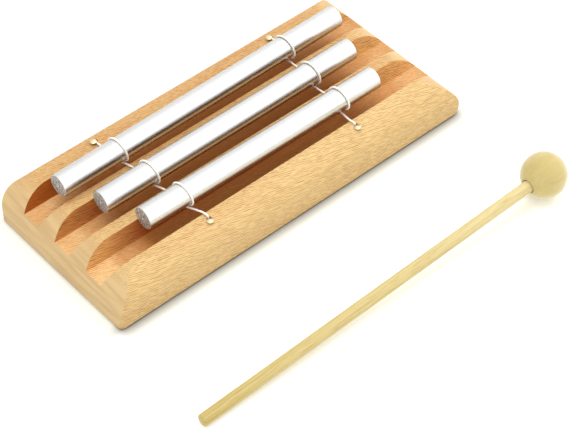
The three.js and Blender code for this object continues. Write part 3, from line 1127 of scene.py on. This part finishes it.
nickel, shader = new_finish("bright_nickel_plate")
spots = mottle(nickel, PLATING_SPOT, detail=3.0, roughness=0.6)
yellows = add_node(
    nickel, "Mix", {SHARE: spots, LOW: colour("bdb08c"), HIGH: colour("dfd5b8")}, **COLOUR_MIX
)
dull = add_node(nickel, "MapRange", [spots, 0.35, 0.7, 0.32, 0.16])
feed(nickel, shader, {"Base Color": yellows, "Metallic": 1.0, "Roughness": dull})
for piece in nail_pieces.values():
    wear(piece, nickel)
print(len(nail_pieces), "nails are plated")

# %% [markdown]
# ### Pale dowel and turned ball
#
# The stick is a bare dowel of a pale, straight-grained wood. Its pores show as tan dashes, drawn half a
# millimetre wide because the real ones, a tenth of that, wouldn't show. The ball was turned and sanded,
# and is matte and nearly plain, with faint rings. Sanding lifts short fibres off bare wood, most of all
# off the ball, and they catch the light like fuzz: that is the sheen. Both get a little paler towards
# the ball's end.

# %% Pale woods
STICK_LINE = (0, -MALLET_TILT, MALLET_TURN)
PALER_FROM = -125
PALER_TO = 100
PALER_SHIFT = 0.25
PORE_DENT = 0.05


def pale_wood(name, light, dark, pore, pore_cell, ring_cell, pore_strength, fuzz):
    """Pale wood from its two colours and the colour, size and strength of its pores."""
    finish, shader = new_finish(name)
    bands = mottle(finish, ring_cell, STICK_LINE, detail=3.0, roughness=0.55)
    paler = ramp(finish, "X", PALER_FROM, PALER_TO, -PALER_SHIFT, PALER_SHIFT)
    band = add_node(finish, "Math", [bands, paler], operation="ADD")
    tint = add_node(finish, "Mix", {SHARE: band, LOW: colour(dark), HIGH: colour(light)}, **COLOUR_MIX)
    dashes = mottle(finish, pore_cell, STICK_LINE, roughness=0.6)
    pores = add_node(finish, "MapRange", [dashes, 0.5, 0.75, 0.0, pore_strength])
    wood = add_node(finish, "Mix", {SHARE: pores, LOW: tint, HIGH: colour(pore)}, **COLOUR_MIX)
    bump = add_node(finish, "Bump", {"Height": dashes, "Strength": 0.15, "Distance": PORE_DENT * MM})
    feed(finish, shader, {
        "Base Color": wood, "Roughness": 0.62, "Specular IOR Level": 0.3, "Sheen Weight": fuzz,
        "Sheen Roughness": 0.4, "Normal": bump,
    })
    return finish


birch = pale_wood(
    "bare_birch_dowel", "e4d4a2", "b29a4c", "a07c3c",
    pore_cell=(11, 0.5, 0.5), ring_cell=(90, 2, 2), pore_strength=0.5, fuzz=0.1,
)
turned_wood = pale_wood(
    "turned_pale_ball", "cbb97e", "b39c54", "967c42",
    pore_cell=(2.5, 0.5, 0.5), ring_cell=(40, 4, 4), pore_strength=0.2, fuzz=1.0,
)
wear(stick, birch)
wear(ball, turned_wood)
print("the mallet wears", birch.name, "and", turned_wood.name)

# %% [markdown]
# ## Studio
#
# A white sheet of paper and soft light from all over. Two soft boxes, one overhead and one on the right,
# shape the wood, and mirrors don't show them. The paper is meant to burn out to white. In front of the
# block its colour holds a painted shade, a contact shadow that ambient occlusion paints in near its
# corner.
# Round the mallet it glows with painted light, so that hardly any shadow shows there.

# %% Paper
PAPER_SIZE = 12
PAINTED_SHADE_REACH = 8
PAINTED_PAPER_GLOW = 0.22

# Where the painted glow and the painted shade of the corner begin, going to the front, and where they are
# full
PAINTED_GLOW_START = -75
PAINTED_GLOW_FULL = -85
PAINTED_SHADE_START = -46
PAINTED_SHADE_FULL = -52

clear_selection()
bpy.ops.mesh.primitive_plane_add(size=PAPER_SIZE, location=(0, 0, 0))
paper = named("studio_paper")
white_paper, shader = new_finish("matte_white_paper")
plain_paper = colour("f4f6f0")
# Painted shade: ambient occlusion darkens the paper's colour in front of the block, a painted contact
# shadow
painted_corner_shade = add_node(
    white_paper, "AmbientOcclusion", {"Color": plain_paper, "Distance": PAINTED_SHADE_REACH * MM}, samples=16
)
past_mallet = ramp(white_paper, "Y", PAINTED_GLOW_FULL, PAINTED_GLOW_START)
before_block = ramp(white_paper, "Y", PAINTED_SHADE_START, PAINTED_SHADE_FULL)
painted_shade_share = add_node(white_paper, "Math", [past_mallet, before_block], operation="MULTIPLY")
paper_with_painted_shade = add_node(white_paper, "Mix", {SHARE: painted_shade_share, LOW: plain_paper, HIGH: painted_corner_shade}, **COLOUR_MIX)
# Painted light: the paper round the mallet glows, so that the mallet casts hardly any shadow
painted_glow = ramp(white_paper, "Y", PAINTED_GLOW_START, PAINTED_GLOW_FULL, 0.0, PAINTED_PAPER_GLOW)
feed(white_paper, shader, {
    "Base Color": paper_with_painted_shade, "Emission Strength": painted_glow, "Roughness": 0.9, "Specular IOR Level": 0.1,
})
wear(paper, white_paper)
print("the paper is", PAPER_SIZE, "metres wide")

# %% [markdown]
# Satin rods show the room more than themselves. In the photograph they are white from the top down to the
# front, and darker only towards the back edge. So the room is white in front and above, and dimmer at the
# back. They also burn out to white while the wood doesn't, so what they mirror is brighter than what
# lights the wood.

# %% Light
BRIGHT_SIDE = (0.35, -0.94, 0)
BRIGHT_LIGHT = 1.04
DIM_LIGHT = 0.53
MIRROR_GAIN = 1.93

world = bpy.data.worlds.new("white_studio")
bpy.context.scene.world = world
world.use_nodes = True
looking = add_node(world, "TexCoord", output="Generated")
towards = add_node(
    world, "VectorMath", [looking, BRIGHT_SIDE], output="Value", operation="DOT_PRODUCT"
)
dimmer = add_node(world, "MapRange", [towards, -1.0, 0.1, DIM_LIGHT, BRIGHT_LIGHT])
in_mirror = add_node(world, "LightPath", output="Is Glossy Ray")
gain = add_node(world, "MapRange", [in_mirror, 0.0, 1.0, 1.0, MIRROR_GAIN])
strength = add_node(world, "Math", [dimmer, gain], operation="MULTIPLY")
feed(world, world.node_tree.nodes["Background"], {"Color": (1.0, 1.0, 1.0, 1.0), "Strength": strength})


def soft_box(name, place, aim, size, power):
    """A square area light that looks at a point, and that mirrors don't show."""
    lamp = bpy.data.lights.new(name, "AREA")
    lamp.size = size
    lamp.energy = power
    box = bpy.data.objects.new(name, lamp)
    box.location = place
    box.rotation_euler = (Vector(aim) - Vector(place)).to_track_quat("-Z", "Y").to_euler()
    box.visible_glossy = False
    bpy.context.scene.collection.objects.link(box)


soft_box("overhead_box", place=(-0.1, 0.3, 1.4), aim=(0, 0, 0), size=0.9, power=8.7)
soft_box("right_box", place=(0.9, -0.1, 0.8), aim=(0.1, -0.1, 0), size=0.6, power=3.2)
bpy.context.scene.view_settings.view_transform = "Standard"
print("the room is", round(BRIGHT_LIGHT / DIM_LIGHT, 1), "times as bright in front as at the back")

# %% [markdown]
# ## Handing over
# Each stiff piece says which body it moves with, and the CAD node that it stands for is hidden. The
# cord pieces get no body: their places are put into their meshes, and the CAD cords are hidden.

# %% Bodies
def hand_over(piece, body, node):
    """The two calls that every stiff piece needs: it is attached to its body, and its CAD node is hidden.
    """
    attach(piece, body)
    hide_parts(node)


hand_over(block, "base", "base_block")
for name, piece in rod_pieces.items():
    hand_over(piece, RODS[name]["body"], f"rod_{name}")
for name, piece in nail_pieces.items():
    hand_over(piece, "base", f"nail_{name}")
hand_over(stick, "mallet", "mallet_stick")
hand_over(ball, "mallet", "mallet_head")
print(3 + len(rod_pieces) + len(nail_pieces), "stiff pieces are handed over")

for name, piece in cord_pieces.items():
    _, side_name, rod_name, part = name.split("_")
    channel_y = CHANNEL_YS[list(RODS).index(rod_name)]
    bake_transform(piece)
    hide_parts(f"cord_{side_name}")
print(len(cord_pieces), "cord pieces bend with their rods")

# %% Nothing is left selected at the end
clear_selection()
